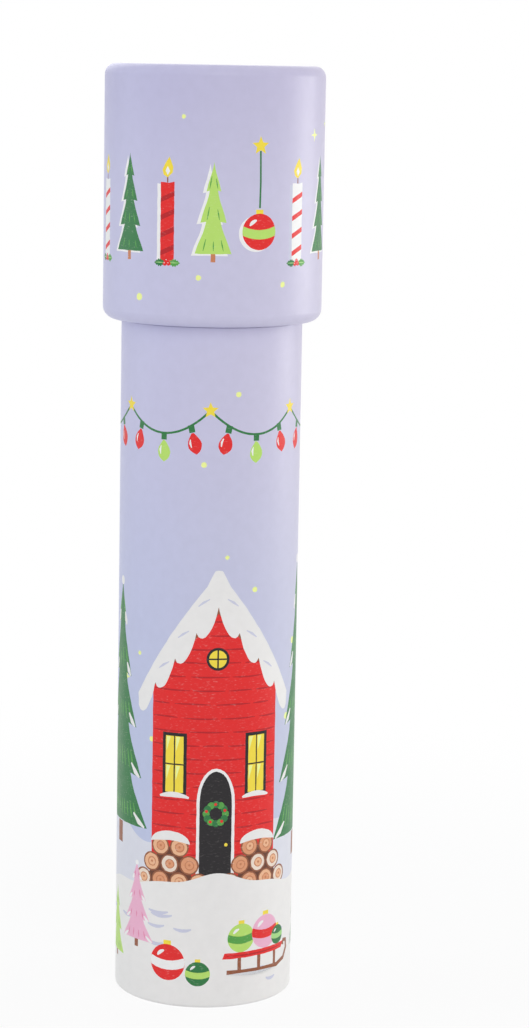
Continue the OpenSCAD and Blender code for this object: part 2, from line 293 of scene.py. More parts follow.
class PrintedSheet:
    """A flat sheet that becomes a tube of this radius between two heights."""

    def __init__(self, radius, low, high, seed):
        self.radius, self.low, self.high = radius, low, high
        self.half = math.pi * radius
        self.hand = random.Random(seed)
        self.layers = []

    def area(self, ink, outline, step=0.9, shake=0.05):
        """One ink inside an outline, whose sides are cut into steps unless the step is WHOLE."""
        ends = np.array(outline, float)
        points = []
        for start, end in zip(ends, np.roll(ends, -1, axis=0)):
            count = max(1, int(np.linalg.norm(end - start) / step))
            for k in range(count):
                u, z = start + (end - start) * k / count
                points.append((u + self.hand.uniform(-shake, shake), z + self.hand.uniform(-shake, shake)))
        self.layers.append((ink, points if signed_area(points) > 0 else points[::-1]))

    def spot(self, ink, u, z, r, shake=0.02):
        """A round spot."""
        sides = max(10, int(math.tau * r / 0.5))
        self.area(ink, arc(u, z, r, 0, 360, sides)[:-1], step=WHOLE, shake=shake)

    def stroke(self, ink, path, width, taper=True, shake=0.03):
        """A brush stroke along a path, thin at both ends unless taper is off."""
        path = np.array(path, float)
        along = np.gradient(path, axis=0)
        across = np.stack([-along[:, 1], along[:, 0]], 1) / np.linalg.norm(along, axis=1)[:, None]
        share = np.linspace(0.04, 0.96, len(path))
        half = width / 2 * (np.sqrt(np.sin(np.pi * share)) if taper else np.ones(len(path)))
        side = across * half[:, None]
        shake = min(shake, half.min() / 3)
        self.area(ink, np.concatenate([path + side, (path - side)[::-1]]), step=WHOLE, shake=shake)


def signed_area(outline):
    """The area inside an outline, negative if it runs clockwise."""
    u, z = np.array(outline).T
    return float(u @ np.roll(z, -1) - z @ np.roll(u, -1)) / 2


def arc(u, z, r, start, end, count, rz=None):
    """Points on a circle, or on an ellipse that is rz high, between two angles in degrees."""
    angles = np.radians(np.linspace(start, end, count + 1))
    return [(u + r * math.cos(a), z + (rz or r) * math.sin(a)) for a in angles]


tube_sheet = PrintedSheet(TUBE_R, FOOT_Z + RIM_R, NECK_Z, seed=7)
head_sheet = PrintedSheet(HEAD_R, HEAD_Z + HEAD_SHOULDER_R, HEAD_TOP_Z - HEAD_TOP_R, seed=19)
print("sheets, mm:", [(round(2 * s.half, 1), round(s.high - s.low, 1)) for s in (tube_sheet, head_sheet)])

# %% [markdown]
# ## The sky
# The whole sheet is printed as sky first. On it are a few pale dots and four-pointed sparkles, kept apart
# from each other. Geometry nodes could scatter them, but a seeded loop is shorter and gives the same sky
# each time. It leaves bare the band for the tube's garland and the band for the head's row of motifs.

# %% Sky
DOT_GAP = 7.0
DOT_RADII = (0.5, 0.65, 0.85)
SPARKLE_SHARE = 0.22
GARLAND_BAND = (127, 142)
ROW_BAND = (169.5, 199)


def star(sheet, ink, u, z, r, points=5, inner=0.45):
    outline = []
    for k in range(2 * points):
        a = math.radians(90 + k * 180 / points)
        reach = r if k % 2 == 0 else r * inner
        outline.append((u + reach * math.cos(a), z + reach * math.sin(a)))
    sheet.area(ink, outline, shake=0.03)


def sky_dots(sheet, count, low, high, bare):
    """Dots and sparkles between two heights, none on the bare band."""
    places = []
    while len(places) < count:
        u = sheet.hand.uniform(1 - sheet.half, sheet.half - 1)
        z = sheet.hand.uniform(low, high)
        if bare[0] < z < bare[1] or any(math.dist((u, z), other) < DOT_GAP for other in places):
            continue
        places.append((u, z))
        r = sheet.hand.choice(DOT_RADII)
        if sheet.hand.random() < SPARKLE_SHARE:
            star(sheet, "dot", u, z, r * 1.8, points=4, inner=0.3)
        else:
            sheet.spot("dot", u, z, r, shake=0.05)


sky_dots(tube_sheet, count=30, low=62, high=153, bare=GARLAND_BAND)
sky_dots(head_sheet, count=11, low=163, high=210, bare=ROW_BAND)
print("dots:", len(tube_sheet.layers), "on the tube,", len(head_sheet.layers), "on the head")

# %% [markdown]
# ## The garland
# A string of pointed lamps hangs round the tube in bows, with a star wherever two bows meet away from the
# seam. Lamps could be spread along a curve by a modifier. Each bow here is a parabola, so a lamp's place
# is a formula, and the lamp leans the more the farther it hangs from the middle.

# %% Garland
GARLAND_Z, GARLAND_SAG, GARLAND_SPANS = 138.5, 5.2, 6
BULB_LENGTH, BULB_R, CAP_R, CAP_H, STRING_W = 5.2, 1.6, 0.7, 1.5, 0.5


def bow(u0, u1, z, sag, count=8):
    """Points on a line that sags in its middle."""
    return [(u0 + (u1 - u0) * t, z - sag * (1 - (2 * t - 1) ** 2)) for t in np.linspace(0, 1, count + 1)]


def box_outline(u0, u1, z0, z1):
    return [(u0, z0), (u1, z0), (u1, z1), (u0, z1)]


def bulb(sheet, u, z, tilt, ink):
    """A pointed lamp that hangs from its cap."""
    def hung(points):
        c, s = math.cos(tilt), math.sin(tilt)
        return [(u + x * c - y * s, z + x * s + y * c) for x, y in points]
    sheet.area("fir", hung(box_outline(-CAP_R, CAP_R, -CAP_H, 0.25)), shake=0.02)
    share = np.linspace(0, 0.94, 10)[1:]
    right = [(BULB_R * math.sin(math.pi * t ** 0.8), BULB_LENGTH * (t - 1) - CAP_H + 0.2) for t in share]
    point = (0, -BULB_LENGTH - CAP_H + 0.2)
    sheet.area(ink, hung([point, *right, *[(-x, y) for x, y in right[::-1]]]), step=WHOLE)
    sheet.stroke("white", hung([(-0.75, -2.9), (-0.98, -3.8), (-0.85, -4.8)]), 0.5)


def garland(sheet, spans, z, sag):
    """A string of lamps all the way round, held up by stars."""
    span = 2 * sheet.half / spans
    for k in range(spans):
        start = -sheet.half + k * span
        string = bow(start + STRING_W / 2, start + span - STRING_W / 2, z, sag, 24)
        sheet.stroke("fir", string, STRING_W, taper=False, shake=0.02)
        for share, ink in ((0.2, "red"), (0.5, "lime"), (0.8, "red")):
            hang = z - sag * (1 - (2 * share - 1) ** 2)
            bulb(sheet, start + span * share, hang, (2 * share - 1) * 0.35, ink)
    for k in range(1, spans):
        star(sheet, "yellow", -sheet.half + k * span, z + 0.3, 1.9)


garland(tube_sheet, GARLAND_SPANS, GARLAND_Z, GARLAND_SAG)
print("garland:", GARLAND_SPANS, "bows,", len(tube_sheet.layers), "areas on the tube so far")

# %% [markdown]
# ## The far hill
# From here on the tube is painted as a painter would, from the far hill to what stands in the near snow.
# A hill's crest drawn by hand would have to be matched at the seam. This one is a sum of sine waves that
# fit the circumference a whole number of times, so it meets itself there.

# %% Far hill
CREST_POINTS = 181


def hill(sheet, ink, level, waves):
    """A band of snow from the sheet's foot up to a wavy crest: waves are height, count and turn."""
    crest = []
    for u in np.linspace(sheet.half, -sheet.half, CREST_POINTS):
        angle = u / sheet.radius
        crest.append((u, level + sum(h * math.sin(n * angle + shift) for h, n, shift in waves)))
    sheet.layers.append((ink, [(-sheet.half, sheet.low), (sheet.half, sheet.low), *crest]))


hill(tube_sheet, "far_snow", level=43, waves=[(3.2, 3, 0.4), (1.6, 5, 1.9)])
print("far hill:", CREST_POINTS, "points along the crest")

# %% [markdown]
# ## The fir trees
# A fir is a stack of tiers. Each tier's edge sweeps out to a tip and tucks back in under the next, by the
# same power curve, and short light strokes follow the branches. Snow lies on the tips. One function of
# place and size draws every fir, near or far.

# %% Fir trees
TIP_RISE = 0.02


def tier_half(width, share):
    """Half the tree's width at a share of its height."""
    return width / 2 * (1 - share) ** 0.85


def fir_outline(u, foot, height, width, tiers):
    right = []
    for k in range(tiers):
        last = k == tiers - 1
        tip, tuck = tier_half(width, k / tiers), 0.55 * tier_half(width, (k + 1) / tiers)
        tip_z = foot + height * (k / tiers + TIP_RISE)
        tuck_z = foot + height * (1 if last else (k + 1) / tiers + 0.03)
        for t in np.linspace(0, 1, 6):
            sweep = (1 - t) ** 1.35
            right.append((tip * sweep + tuck * (1 - sweep), tip_z + (tuck_z - tip_z) * t ** 0.85))
    return [(u + x, z) for x, z in right] + [(u - x, z) for x, z in right[::-1] if x > 0]


def fir(sheet, u, foot, height, width, tiers, ink, light, snow=None, trunk="umber"):
    sheet.area(trunk, box_outline(u - 0.06 * width, u + 0.06 * width, foot - 0.07 * height, foot + 1))
    sheet.area(ink, fir_outline(u, foot, height, width, tiers), step=1.2)
    tier_h = height / tiers
    for k in range(tiers):
        half = tier_half(width, k / tiers)
        tip_z = foot + height * (k / tiers + TIP_RISE)
        branches = max(2, int(half / 1.1))
        for share in (np.arange(branches) + 0.5) / branches * 2 - 1:
            x = u + share * half * 0.62 + sheet.hand.uniform(-0.15, 0.15)
            length = tier_h * sheet.hand.uniform(0.28, 0.42)
            lean = share * length * 0.34
            low = tip_z + 0.03 * height
            sheet.stroke(light, [(x, low + length), (x + lean / 2, low + length / 2), (x + lean, low)],
                         min(0.55, 0.035 * width))
        if snow:
            for side in (-1, 1):
                path = [(u + side * half * reach, tip_z + rise * tier_h)
                        for reach, rise in ((0.93, 0.01), (0.77, 0.10), (0.59, 0.26))]
                sheet.stroke(snow, path, min(1.3, 0.07 * width))
    if snow:
        sheet.spot(snow, u, foot + height - 0.3, 0.09 * width ** 0.8)


# Trees by place, foot, height, width, tiers, ink, branches and snow.
FAR_FIRS = [
    (-25.5, 40, 58, 22, 5, "fir", "leaf", "snow"), (29.5, 37, 66, 23, 5, "fir", "leaf", "snow"),
    (-38.5, 40, 40, 17, 4, "leaf", "pale_green", "snow"), (43.5, 38, 36, 15, 4, "lime", "leaf"),
    (55, 40, 52, 19, 5, "leaf", "pale_green", "snow"),
]
for tree in FAR_FIRS:
    fir(tube_sheet, *tree)
print("far firs:", len(FAR_FIRS))

# %% [markdown]
# ## The cabins and their firewood
# Two board cabins stand under thick snow, and firewood is stacked against the front one. The boards and
# the log ends are loops over rows, with a little chance in each, because a pattern that repeats exactly
# looks stamped. The snow on a roof is one outline: soft slopes above, a scalloped edge below.

# %% Cabins
BOARD_H = 3.2
ROOF_DRIPS = 4


def window(sheet, u, sill, width, height):
    edge, bar = 0.6, 0.32
    reach = width / 2 + edge
    sheet.area("black", box_outline(u - reach, u + reach, sill - edge, sill + height + edge), shake=0.04)
    pane_w, pane_h = width / 2 - bar, height / 2 - bar
    for x in (u - width / 2 + bar / 2, u + bar / 2):
        for z in (sill + bar / 2, sill + height / 2 + bar / 2):
            sheet.area("yellow", box_outline(x, x + pane_w, z, z + pane_h), shake=0.03)
            left, upper = x + 0.2, z + pane_h - 0.2
            glint = [(left, upper), (left, z + 0.45 * pane_h), (x + 0.6 * pane_w, upper)]
            sheet.area("dot", glint, shake=0.02)
    sheet.stroke("snow", bow(u - width / 2 - 1.2, u + width / 2 + 1.2, sill - 0.9, -0.55), 1.25)


def boards(sheet, u, foot, width, eaves, peak, ink):
    """Dry strokes along the joints between boards, up to the gable."""
    for z in np.arange(foot + BOARD_H, peak - BOARD_H, BOARD_H):
        half = width / 2 * min(1, (peak - z) / (peak - eaves)) - 0.3
        x = -half
        while x < half - 1:
            end = min(x + sheet.hand.uniform(4, 9), half)
            sheet.stroke(ink, bow(u + x, u + end, z, sheet.hand.uniform(-0.12, 0.12), 4), 0.42)
            x = end + sheet.hand.uniform(0.5, 1.4)


def arched_door(sheet, u, foot, width, height, ink):
    spring = foot + 0.72 * height
    for grow, colour in ((0.7, "white"), (0, ink)):
        half = width / 2 + grow
        arch = arc(u, spring, half, 0, 180, 14, rz=0.28 * height + grow)
        sheet.area(colour, [(u - half, foot), (u + half, foot)] + arch, shake=0.04)
    ring_z, ring_r = foot + 0.62 * height, 0.3 * width
    for k in range(12):
        x, z = arc(u, ring_z, ring_r, 0, 360, 12)[k]
        sheet.spot(("leaf", "fir")[k % 2], x, z, 0.38 * ring_r, shake=0.05)
    for x, z in arc(u, ring_z, ring_r, 20, 380, 5)[:-1]:
        sheet.spot("red", x, z, 0.16 * ring_r)
    sheet.spot("yellow", u + 0.33 * width, foot + 0.34 * height, 0.42)


def snowy_roof(sheet, u, eaves_z, peak_z, half, thick):
    """Boards under the gable's edge, then snow on them with soft slopes and a scalloped lower edge."""
    bare = [(u - half, eaves_z - 0.9), (u, peak_z - thick), (u + half, eaves_z - 0.9)]
    sheet.area("umber", bare + [(x, z - 1.6) for x, z in bare[::-1]])
    rise = peak_z - eaves_z
    upper = []
    for t in np.linspace(0, 1, 16)[:-2]:
        upper.append((u - half - 0.6 + (half + 0.6) * t, eaves_z + rise * t + 1.2 * math.sin(math.pi * t)))
    upper += arc(u, peak_z - 1, 1.6, 125, 90, 3, rz=1.2)[:-1]
    lower = []
    for t in np.linspace(0, 1, 10 * ROOF_DRIPS + 1):
        x = u - half - 0.4 + (half + 0.4) * t
        z = eaves_z - 0.35 * thick + (peak_z - 0.65 * thick - eaves_z) * t
        lower.append((x, z - 0.42 * thick * abs(math.sin(math.pi * ROOF_DRIPS * t)) ** 0.7))
    upper_right = [(2 * u - x, z) for x, z in upper[::-1]]
    lower_right = [(2 * u - x, z) for x, z in lower]
    sheet.area("snow", upper + [(u, peak_z + 0.2)] + upper_right + lower_right + lower[-2::-1], step=1.0)
    for t in (0.25, 0.5, 0.75):
        for side in (-1, 1):
            x, z = u + side * half * 0.95 * (1 - t), eaves_z + rise * t - 0.7
            sheet.stroke("shade", [(x, z), (x - side * 1.2, z + 0.9), (x - side * 2.6, z + 1.7)], 0.55)


def cabin(sheet, u, foot, width, wall_h, roof_h, wall, joint, door):
    eaves, peak = foot + wall_h, foot + wall_h + roof_h
    half, gable = width / 2, peak - 1.5
    corners = [(-half, foot), (half, foot), (half, eaves), (0, gable), (-half, eaves)]
    sheet.area(wall, [(u + x, z) for x, z in corners], step=1.5)
    boards(sheet, u, foot, width, eaves, gable, ink=joint)
    arched_door(sheet, u, foot, width=0.24 * width, height=0.58 * wall_h, ink=door)
    for side in (-1, 1):
        window(sheet, u + side * 0.315 * width, sill=foot + 0.46 * wall_h, width=0.15 * width,
               height=0.3 * wall_h)
    attic_z, attic_r = eaves + 0.3 * roof_h, 0.066 * width
    sheet.spot("black", u, attic_z, attic_r + 0.6)
    sheet.spot("yellow", u, attic_z, attic_r)
    sheet.area("black", box_outline(u - 0.18, u + 0.18, attic_z - attic_r, attic_z + attic_r), shake=0)
    sheet.area("black", box_outline(u - attic_r, u + attic_r, attic_z - 0.18, attic_z + 0.18), shake=0)
    overhang = 0.13 * width
    snowy_roof(sheet, u, eaves_z=eaves - 0.55 * overhang, peak_z=peak + 0.14 * roof_h,
               half=half + overhang, thick=0.34 * roof_h)


cabin(tube_sheet, u=2.5, foot=30, width=31, wall_h=45, roof_h=24,
      wall="red", joint="dark_red", door="black")
cabin(tube_sheet, u=-51.5, foot=36, width=17, wall_h=20, roof_h=13,
      wall="leaf", joint="fir", door="red")
print("cabins: 2,", len(tube_sheet.layers), "areas on the tube so far")

# %% Firewood
LOG_R = 2.35


def log_end(sheet, u, z, r):
    sheet.spot("umber", u, z, r)
    sheet.spot(sheet.hand.choice(["peach", "peach", "clay", "cream"]), u, z, 0.84 * r, shake=0.06)
    sheet.spot("brown", u + 0.05 * r, z, 0.5 * r, shake=0.05)
    sheet.spot(sheet.hand.choice(["peach", "clay"]), u + 0.05 * r, z, 0.4 * r, shake=0.04)
    sheet.spot("brown", u + 0.05 * r, z + 0.03 * r, 0.13 * r)


def wood_pile(sheet, u, foot, logs, rows, r):
    """Rows of log ends, each row one log shorter than the one under it, with snow on the top row."""
    rise = r * math.sqrt(3)
    top = foot + r + (rows - 1) * rise
    low_half, top_half = (logs - 1) * r, (logs - rows) * r
    corners = [(-low_half, foot), (low_half, foot), (top_half, top), (-top_half, top)]
    sheet.area("bark", [(u + x, z) for x, z in corners])
    for row in range(rows):
        count = logs - row
        for k in range(count):
            log_end(sheet, u + (2 * k - count + 1) * r, foot + r + row * rise, 0.97 * r)
    half = (logs - rows + 1) * r
    cover = arc(u, top + 0.35 * r, half * 1.04, 0, 180, 14, rz=1.25 * r)
    under = bow(u - half * 1.04, u + half * 1.04, top + 0.35 * r, -0.3 * r, 6)
    sheet.area("snow", cover + under[1:-1], shake=0.05)


for u in (-8.2, 13.2):
    wood_pile(tube_sheet, u, foot=27.5, logs=4, rows=3, r=LOG_R)
print("logs:", round(2 * LOG_R, 1), "mm across")

# %% [markdown]
# ## The near snow
# The near hill covers the feet of all that is farther away. Short soft shadows break up its white, and
# small firs stand in it. Nothing crosses the sheet's lower edge, because that edge is rolled.

# %% Near snow
def drifts(sheet, count):
    """Short soft shadows on the near snow."""
    for _ in range(count):
        u = sheet.hand.uniform(4 - sheet.half, sheet.half - 4)
        z = sheet.hand.uniform(3, 23)
        reach = sheet.hand.uniform(1.4, 2.8)
        sheet.stroke("shade", bow(u - reach, u + reach, z, 0.45), 0.8)


hill(tube_sheet, "snow", level=29, waves=[(2.2, 2, 1.33), (0.6, 5, 0.7), (0.4, 9, 0.2)])
drifts(tube_sheet, count=34)
NEAR_FIRS = [
    (-17.5, 14, 19, 10.5, 4, "pink", "rose", "white"), (-27.5, 9, 16, 9, 3, "lime", "leaf"),
    (34.5, 10, 25, 13, 4, "fir", "leaf", "white"), (44.5, 12, 17, 10, 3, "pink", "rose", "white"),
    (-57, 9, 22, 12, 4, "leaf", "pale_green", "white"),
]
for tree in NEAR_FIRS:
    fir(tube_sheet, *tree)
print("near firs:", len(NEAR_FIRS))

# %% [markdown]
# ## The baubles and the sledge
# Small toys of the season in the print's own reds and greens. A bauble is a function of its place and
# size, so the same one can stand in the snow, ride on the sledge or hang from a thread on the head.

# %% Baubles and sledge
def bauble(sheet, u, z, r, ink, band):
    sheet.area("yellow", box_outline(u - 0.22 * r, u + 0.22 * r, z + 0.9 * r, z + 1.22 * r), shake=0.02)
    sheet.spot(ink, u, z, r)
    upper = bow(u - 0.94 * r, u + 0.94 * r, z + 0.3 * r, 0.2 * r, 6)
    lower = bow(u + 0.96 * r, u - 0.96 * r, z - 0.22 * r, 0.2 * r, 6)
    sheet.area(band, upper + arc(u, z, r, 17, -13, 3)[1:-1] + lower + arc(u, z, r, 193, 163, 3)[1:-1],
               shake=0.02)
    sheet.stroke("white", arc(u, z, 0.66 * r, 150, 105, 5), 0.2 * r)


def sledge(sheet, u, z):
    runner = [(-9.4, 0.4), (5.2, 0), (8.4, 0.8), (10, 2.9), (9.7, 4.8), (8.3, 5), (8, 4)]
    sheet.stroke("umber", [(u + x, z + y) for x, y in runner], 1.05, taper=False)
    for x in (-6.3, -1, 4.2):
        sheet.area("umber", box_outline(u + x - 0.45, u + x + 0.45, z + 0.3, z + 3.8))
    sheet.area("red", [(u - 10.5, z + 3.6), (u + 7.1, z + 3.6), (u + 8, z + 5), (u - 10, z + 5)])
    sheet.stroke("dark_red", bow(u - 9.4, u + 6.3, z + 4.3, 0.1), 0.35)
    bauble(sheet, u - 5.9, z + 8.4, 3.4, "lime", "leaf")
    bauble(sheet, u + 0.9, z + 9.0, 4.0, "pink", "red")
    bauble(sheet, u + 5.3, z + 7.2, 2.3, "fir", "pale_green")


# Baubles by place, height, radius, ink and band.
BAUBLES = [
    (-8.5, 10.5, 4.3, "red", "white"), (-1.2, 8.2, 2.9, "fir", "lime"), (54, 11, 4, "lime", "leaf"),
    (60.5, 8, 2.6, "red", "white"), (-40, 10, 3.8, "pink", "red"), (-48, 7.6, 2.6, "lime", "leaf"),
]
for ball in BAUBLES:
    bauble(tube_sheet, *ball)
sledge(tube_sheet, u=15, z=8)
print("tube print:", len(tube_sheet.layers), "areas")

# %% [markdown]
# ## The row on the head
# Fifteen motifs stand in one row round the head, five kinds in turn: firs, a hung bauble, and candles
# with a twist of stripes and a sprig of holly. Each has a pale print under it, shifted a little to the
# left, as if the plates didn't meet. An offset copy of the finished row would do that too, but here each
# motif picks the pale ink that suits it.

# %% Candles and holly
CANDLE_SHIFT = (-0.85, -0.34)
STRIPE_PITCH = 3.9
HOLLY_POINTS = 5


def candle(sheet, u, foot, height, width, ink, stripe, under):
    half = width / 2
    top = foot + height
    outline = [(-half, foot), (half, foot), (half, top), (0.1 * width, top - 0.3), (-half, top - 0.1)]
    for ink_now, (du, dz) in ((under, CANDLE_SHIFT), (ink, (0, 0))):
        sheet.area(ink_now, [(u + x + du, z + dz) for x, z in outline])
    for z in np.arange(foot + 1.2, top - 2.6, STRIPE_PITCH):
        twist = [(u - half, z), (u + half, z + 1.5), (u + half, z + 2.6), (u - half, z + 1.1)]
        sheet.area(stripe, twist, shake=0.03)
    sheet.area("umber", box_outline(u - 0.16, u + 0.16, top - 0.2, top + 1.2), shake=0.01)
    flame = [(0, 0.9), (0.36, 2.0), (0.4, 3.2), (0.12, 5.4), (-0.2, 3.9), (-0.4, 2.6), (-0.3, 1.5)]
    sheet.area("yellow", [(u + x * width, top + y) for x, y in flame], shake=0.03)
    heart = [(0, 1.4), (0.17, 2.3), (0, 3.4), (-0.16, 2.4)]
    sheet.area("white", [(u + x * width, top + y) for x, y in heart], shake=0.02)


def holly(sheet, u, z, size):
    """Two leaves with points along their edges, and three berries between them."""
    for side, ink in ((1, "leaf"), (-1, "fir")):
        upper, lower = [], []
        for k in range(2 * HOLLY_POINTS + 1):
            share = k / (2 * HOLLY_POINTS)
            swell = math.sin(math.pi * share)
            deep = 0.62 if k % 2 else 1
            x = u + side * size * (0.3 + 2.7 * share)
            upper.append((x, z + size * (0.32 + 0.9 * deep * swell)))
            lower.append((x, z + size * (0.28 - 0.9 * deep * swell)))
        sheet.area(ink, upper + lower[::-1], step=WHOLE, shake=0.02)
        vein = [(u + side * size * x, z + 0.33 * size) for x in (0.5, 1.6, 2.7)]
        sheet.stroke("pale_green", vein, 0.22 * size)
    for x, y in ((-0.45, 0.1), (0.4, 0.15), (0, 0.75)):
        sheet.spot("red", u + x * size, z + y * size, 0.48 * size)
        sheet.spot("white", u + (x - 0.14) * size, z + (y + 0.16) * size, 0.11 * size)


# %% The row on the head
ROW_FOOT = 173.5
ROW_COUNT = 15
ROW_SHIFT = (-0.8, -0.4)


def shadowed_fir(sheet, u, height, width, tiers, ink):
    du, dz = ROW_SHIFT
    sheet.area("white", [(x + du, z + dz) for x, z in fir_outline(u, ROW_FOOT, height, width, tiers)])
    fir(sheet, u, ROW_FOOT, height, width, tiers, ink, "leaf", trunk="brown")


def dark_fir(sheet, u):
    shadowed_fir(sheet, u, height=22, width=8.6, tiers=4, ink="fir")


def light_fir(sheet, u):
    shadowed_fir(sheet, u, height=20.5, width=8.2, tiers=3, ink="lime")


def holly_candle(sheet, u, ink, stripe, under):
    candle(sheet, u, foot=ROW_FOOT - 1.5, height=17.5, width=3.3, ink=ink, stripe=stripe, under=under)
    holly(sheet, u, z=ROW_FOOT - 2.1, size=1.05)


def red_candle(sheet, u):
    holly_candle(sheet, u, ink="red", stripe="dark_red", under="white")


def striped_candle(sheet, u):
    holly_candle(sheet, u, ink="white", stripe="red", under="shade")


def hung_bauble(sheet, u):
    z, r = ROW_FOOT + 5.3, 4
    sheet.stroke("fir", [(u, z + 17.7), (u + 0.1, z + 11), (u, z + 1.3 * r)], 0.45, taper=False)
    sheet.spot("white", u + ROW_SHIFT[0], z + ROW_SHIFT[1], r)
    bauble(sheet, u, z, r, "red", "lime")
    star(sheet, "yellow", u, z + 18.8, 2.1)


ROW_KINDS = (dark_fir, red_candle, light_fir, hung_bauble, striped_candle)
for k in range(ROW_COUNT):
    u = head_sheet.half * ((2 * k + 1) / ROW_COUNT - 1)
    ROW_KINDS[k % len(ROW_KINDS)](head_sheet, u)
print("head print:", len(head_sheet.layers), "areas")

# %% [markdown]
# ## From flat sheet to skin
# The Knife Project tool could cut the outlines into a wall by hand. A constrained triangulation cuts the
# flat sheet along all of them at once, and tells which outlines each triangle lies in: the last of them
# gives the ink. Each corner keeps its ink as a colour attribute. The sheet is then rolled, and every
# corner gets the true normal of the cylinder, so that the many slim triangles shade as one smooth wall.
# Columns of points are shared with the rolled edges, and nothing leaks.

# %% Skin builder
class Skin:
    """Collects faces that share corners by place, with an ink, a normal and a map place for each corner."""

    def __init__(self):
        self.index, self.points, self.faces = {}, [], []
        self.normals, self.inks, self.dry, self.slots, self.map = [], [], [], [], []

    def corner(self, point):
        key = tuple(round(c, 4) for c in point)
        if key not in self.index:
            self.index[key] = len(self.points)
            self.points.append([c * MM for c in point])
        return self.index[key]

    def face(self, points, normals, inks, dry, slot, places):
        corners = [self.corner(p) for p in points]
        if len(set(corners)) < len(corners):
            return
        self.faces.append(corners)
        self.normals.extend(normals)
        self.inks.extend(inks)
        self.dry.append(dry)
        self.slots.append(slot)
        self.map.extend(places)

    def build(self, name, materials):
        mesh = bpy.data.meshes.new(name)
        mesh.from_pydata(self.points, [], self.faces)
        for material in materials:
            mesh.materials.append(material)
        mesh.polygons.foreach_set("material_index", self.slots)
        mesh.polygons.foreach_set("use_smooth", [True] * len(self.faces))
        ink = mesh.color_attributes.new("ink", "FLOAT_COLOR", "CORNER")
        ink.data.foreach_set("color", np.c_[np.array(self.inks), np.ones(len(self.inks))].ravel())
        dry = mesh.attributes.new("dry_brush", "FLOAT", "FACE")
        dry.data.foreach_set("value", self.dry)
        flat = mesh.uv_layers.new(name="OFBake")
        flat.uv.foreach_set("vector", np.array(self.map).ravel())
        mesh.normals_split_custom_set(self.normals)
        piece = bpy.data.objects.new(name, mesh)
        bpy.context.scene.collection.objects.link(piece)
        return piece


# %% Roll the sheet
# The skin's two material slots.
PRINTED, BARE = 0, 1
COLUMNS = 180
ROW_STEP = 3.0
WELD = 0.001
# The kind of triangulation that keeps what lies inside an outline.
INSIDE_TRIANGLES = 1
# Where the wall lies on the flat map that the skin carries: start and width, start and height.
WALL_MAP = (0.01, 0.98, 0.17, 0.82)
# The sky's inks by height, and how much its red, green and blue change towards the right.
# The darker sky ink at the top of the head is painted shade.
SKY_HEIGHTS = (60, 135, 185, 210)
SKY_INKS = ("low_sky", "sky", "sky", "shaded_top_sky")
SKY_SIDE_TINT = np.array([0.034, 0.015, -0.023])


def columns_of(sheet):
    """Places along the wall where the mesh has columns of points, two of them beside the seam's line."""
    even = np.linspace(-sheet.half, sheet.half, COLUMNS + 1)
    beside = sheet.half - SEAM_LINE_W / 2
    return np.sort(np.r_[even, beside, -beside])


def cut_along_outlines(sheet):
    """Triangles of the flat sheet: their points, corners and inks."""
    columns = columns_of(sheet)
    rows = np.linspace(sheet.low, sheet.high, int((sheet.high - sheet.low) / ROW_STEP) + 1)
    half, low, high = sheet.half, sheet.low, sheet.high
    border = [(u, low) for u in columns[:-1]] + [(half, z) for z in rows[:-1]]
    border += [(u, high) for u in columns[:0:-1]] + [(-half, z) for z in rows[:0:-1]]
    points, outlines = [], []
    for outline in [border] + [outline for _, outline in sheet.layers]:
        outlines.append(list(range(len(points), len(points) + len(outline))))
        points.extend(outline)
    seam_lines = []
    for u in (columns[1], columns[-2]):
        seam_lines.append((len(points), len(points) + 1))
        points.extend([(u, low), (u, high)])
    points.extend((u, z) for u in columns[1:-1] for z in rows[1:-1])
    cut = delaunay_2d_cdt([Vector(p) for p in points], seam_lines, outlines, INSIDE_TRIANGLES, WELD, True)
    corners, triangles, inside = cut[0], cut[2], cut[5]
    inks = ["sky"] + [ink for ink, _ in sheet.layers]
    return corners, triangles, [inks[max(layers)] for layers in inside]


def ink_light(ink, angle, z):
    """An ink's colour at a place: the sky darkens towards the head's top, which is painted shade, and is
    bluer low down and greyer to the right.
    """
    if ink != "sky":
        return LIGHT_OF_INK[ink]
    stops = np.array([LIGHT_OF_INK[name] for name in SKY_INKS])
    level = np.array([np.interp(z, SKY_HEIGHTS, stops[:, channel]) for channel in range(3)])
    return level * (1 + SKY_SIDE_TINT * math.sin(angle))


def roll(sheet, skin):
    """Adds the printed wall to a skin, with the fine line of the lock seam at the back."""
    corners, triangles, inks = cut_along_outlines(sheet)
    u0, du, v0, dv = WALL_MAP
    for triangle, ink in zip(triangles, inks):
        flat = [corners[k] for k in triangle]
        points, normals, inked, places = [], [], [], []
        for u, z in flat:
            angle = u / sheet.radius
            on_line = sheet.half - abs(u) < WELD and sheet.low + WELD < z < sheet.high - WELD
            r = sheet.radius - (SEAM_LINE_DEPTH if on_line else 0)
            points.append((r * math.sin(angle), -r * math.cos(angle), z))
            normals.append((math.sin(angle), -math.cos(angle), 0))
            inked.append(ink_light(ink, angle, z))
            up = (z - sheet.low) / (sheet.high - sheet.low)
            places.append((u0 + du * (u / sheet.half + 1) / 2, v0 + dv * up))
        if any(sheet.half - abs(u) < WELD for u, _ in flat):
            a, b, c = (Vector(p) for p in points)
            normals = [(b - a).cross(c - a).normalized()] * 3
        skin.face(points, normals, inked, DRY_BRUSH.get(ink, 0), PRINTED, places)


tube_skin, head_skin = Skin(), Skin()
roll(tube_sheet, tube_skin)
roll(head_sheet, head_skin)
print("walls:", len(tube_skin.faces), "and", len(head_skin.faces), "triangles")

# %% [markdown]
# ## Rolled edges
# Past the printed wall the sheet is spun: a quarter round and a flat lip at each end, a hem, the neck
# that the head turns on, and the bare inner side. A Screw modifier could turn a profile, but the skin has
# to be one closed mesh with the printed wall, so the profile is turned here on the wall's own columns.

# %% Rolled edges
EDGE_MAP = (0.01, 0.98, 0.01, 0.1)


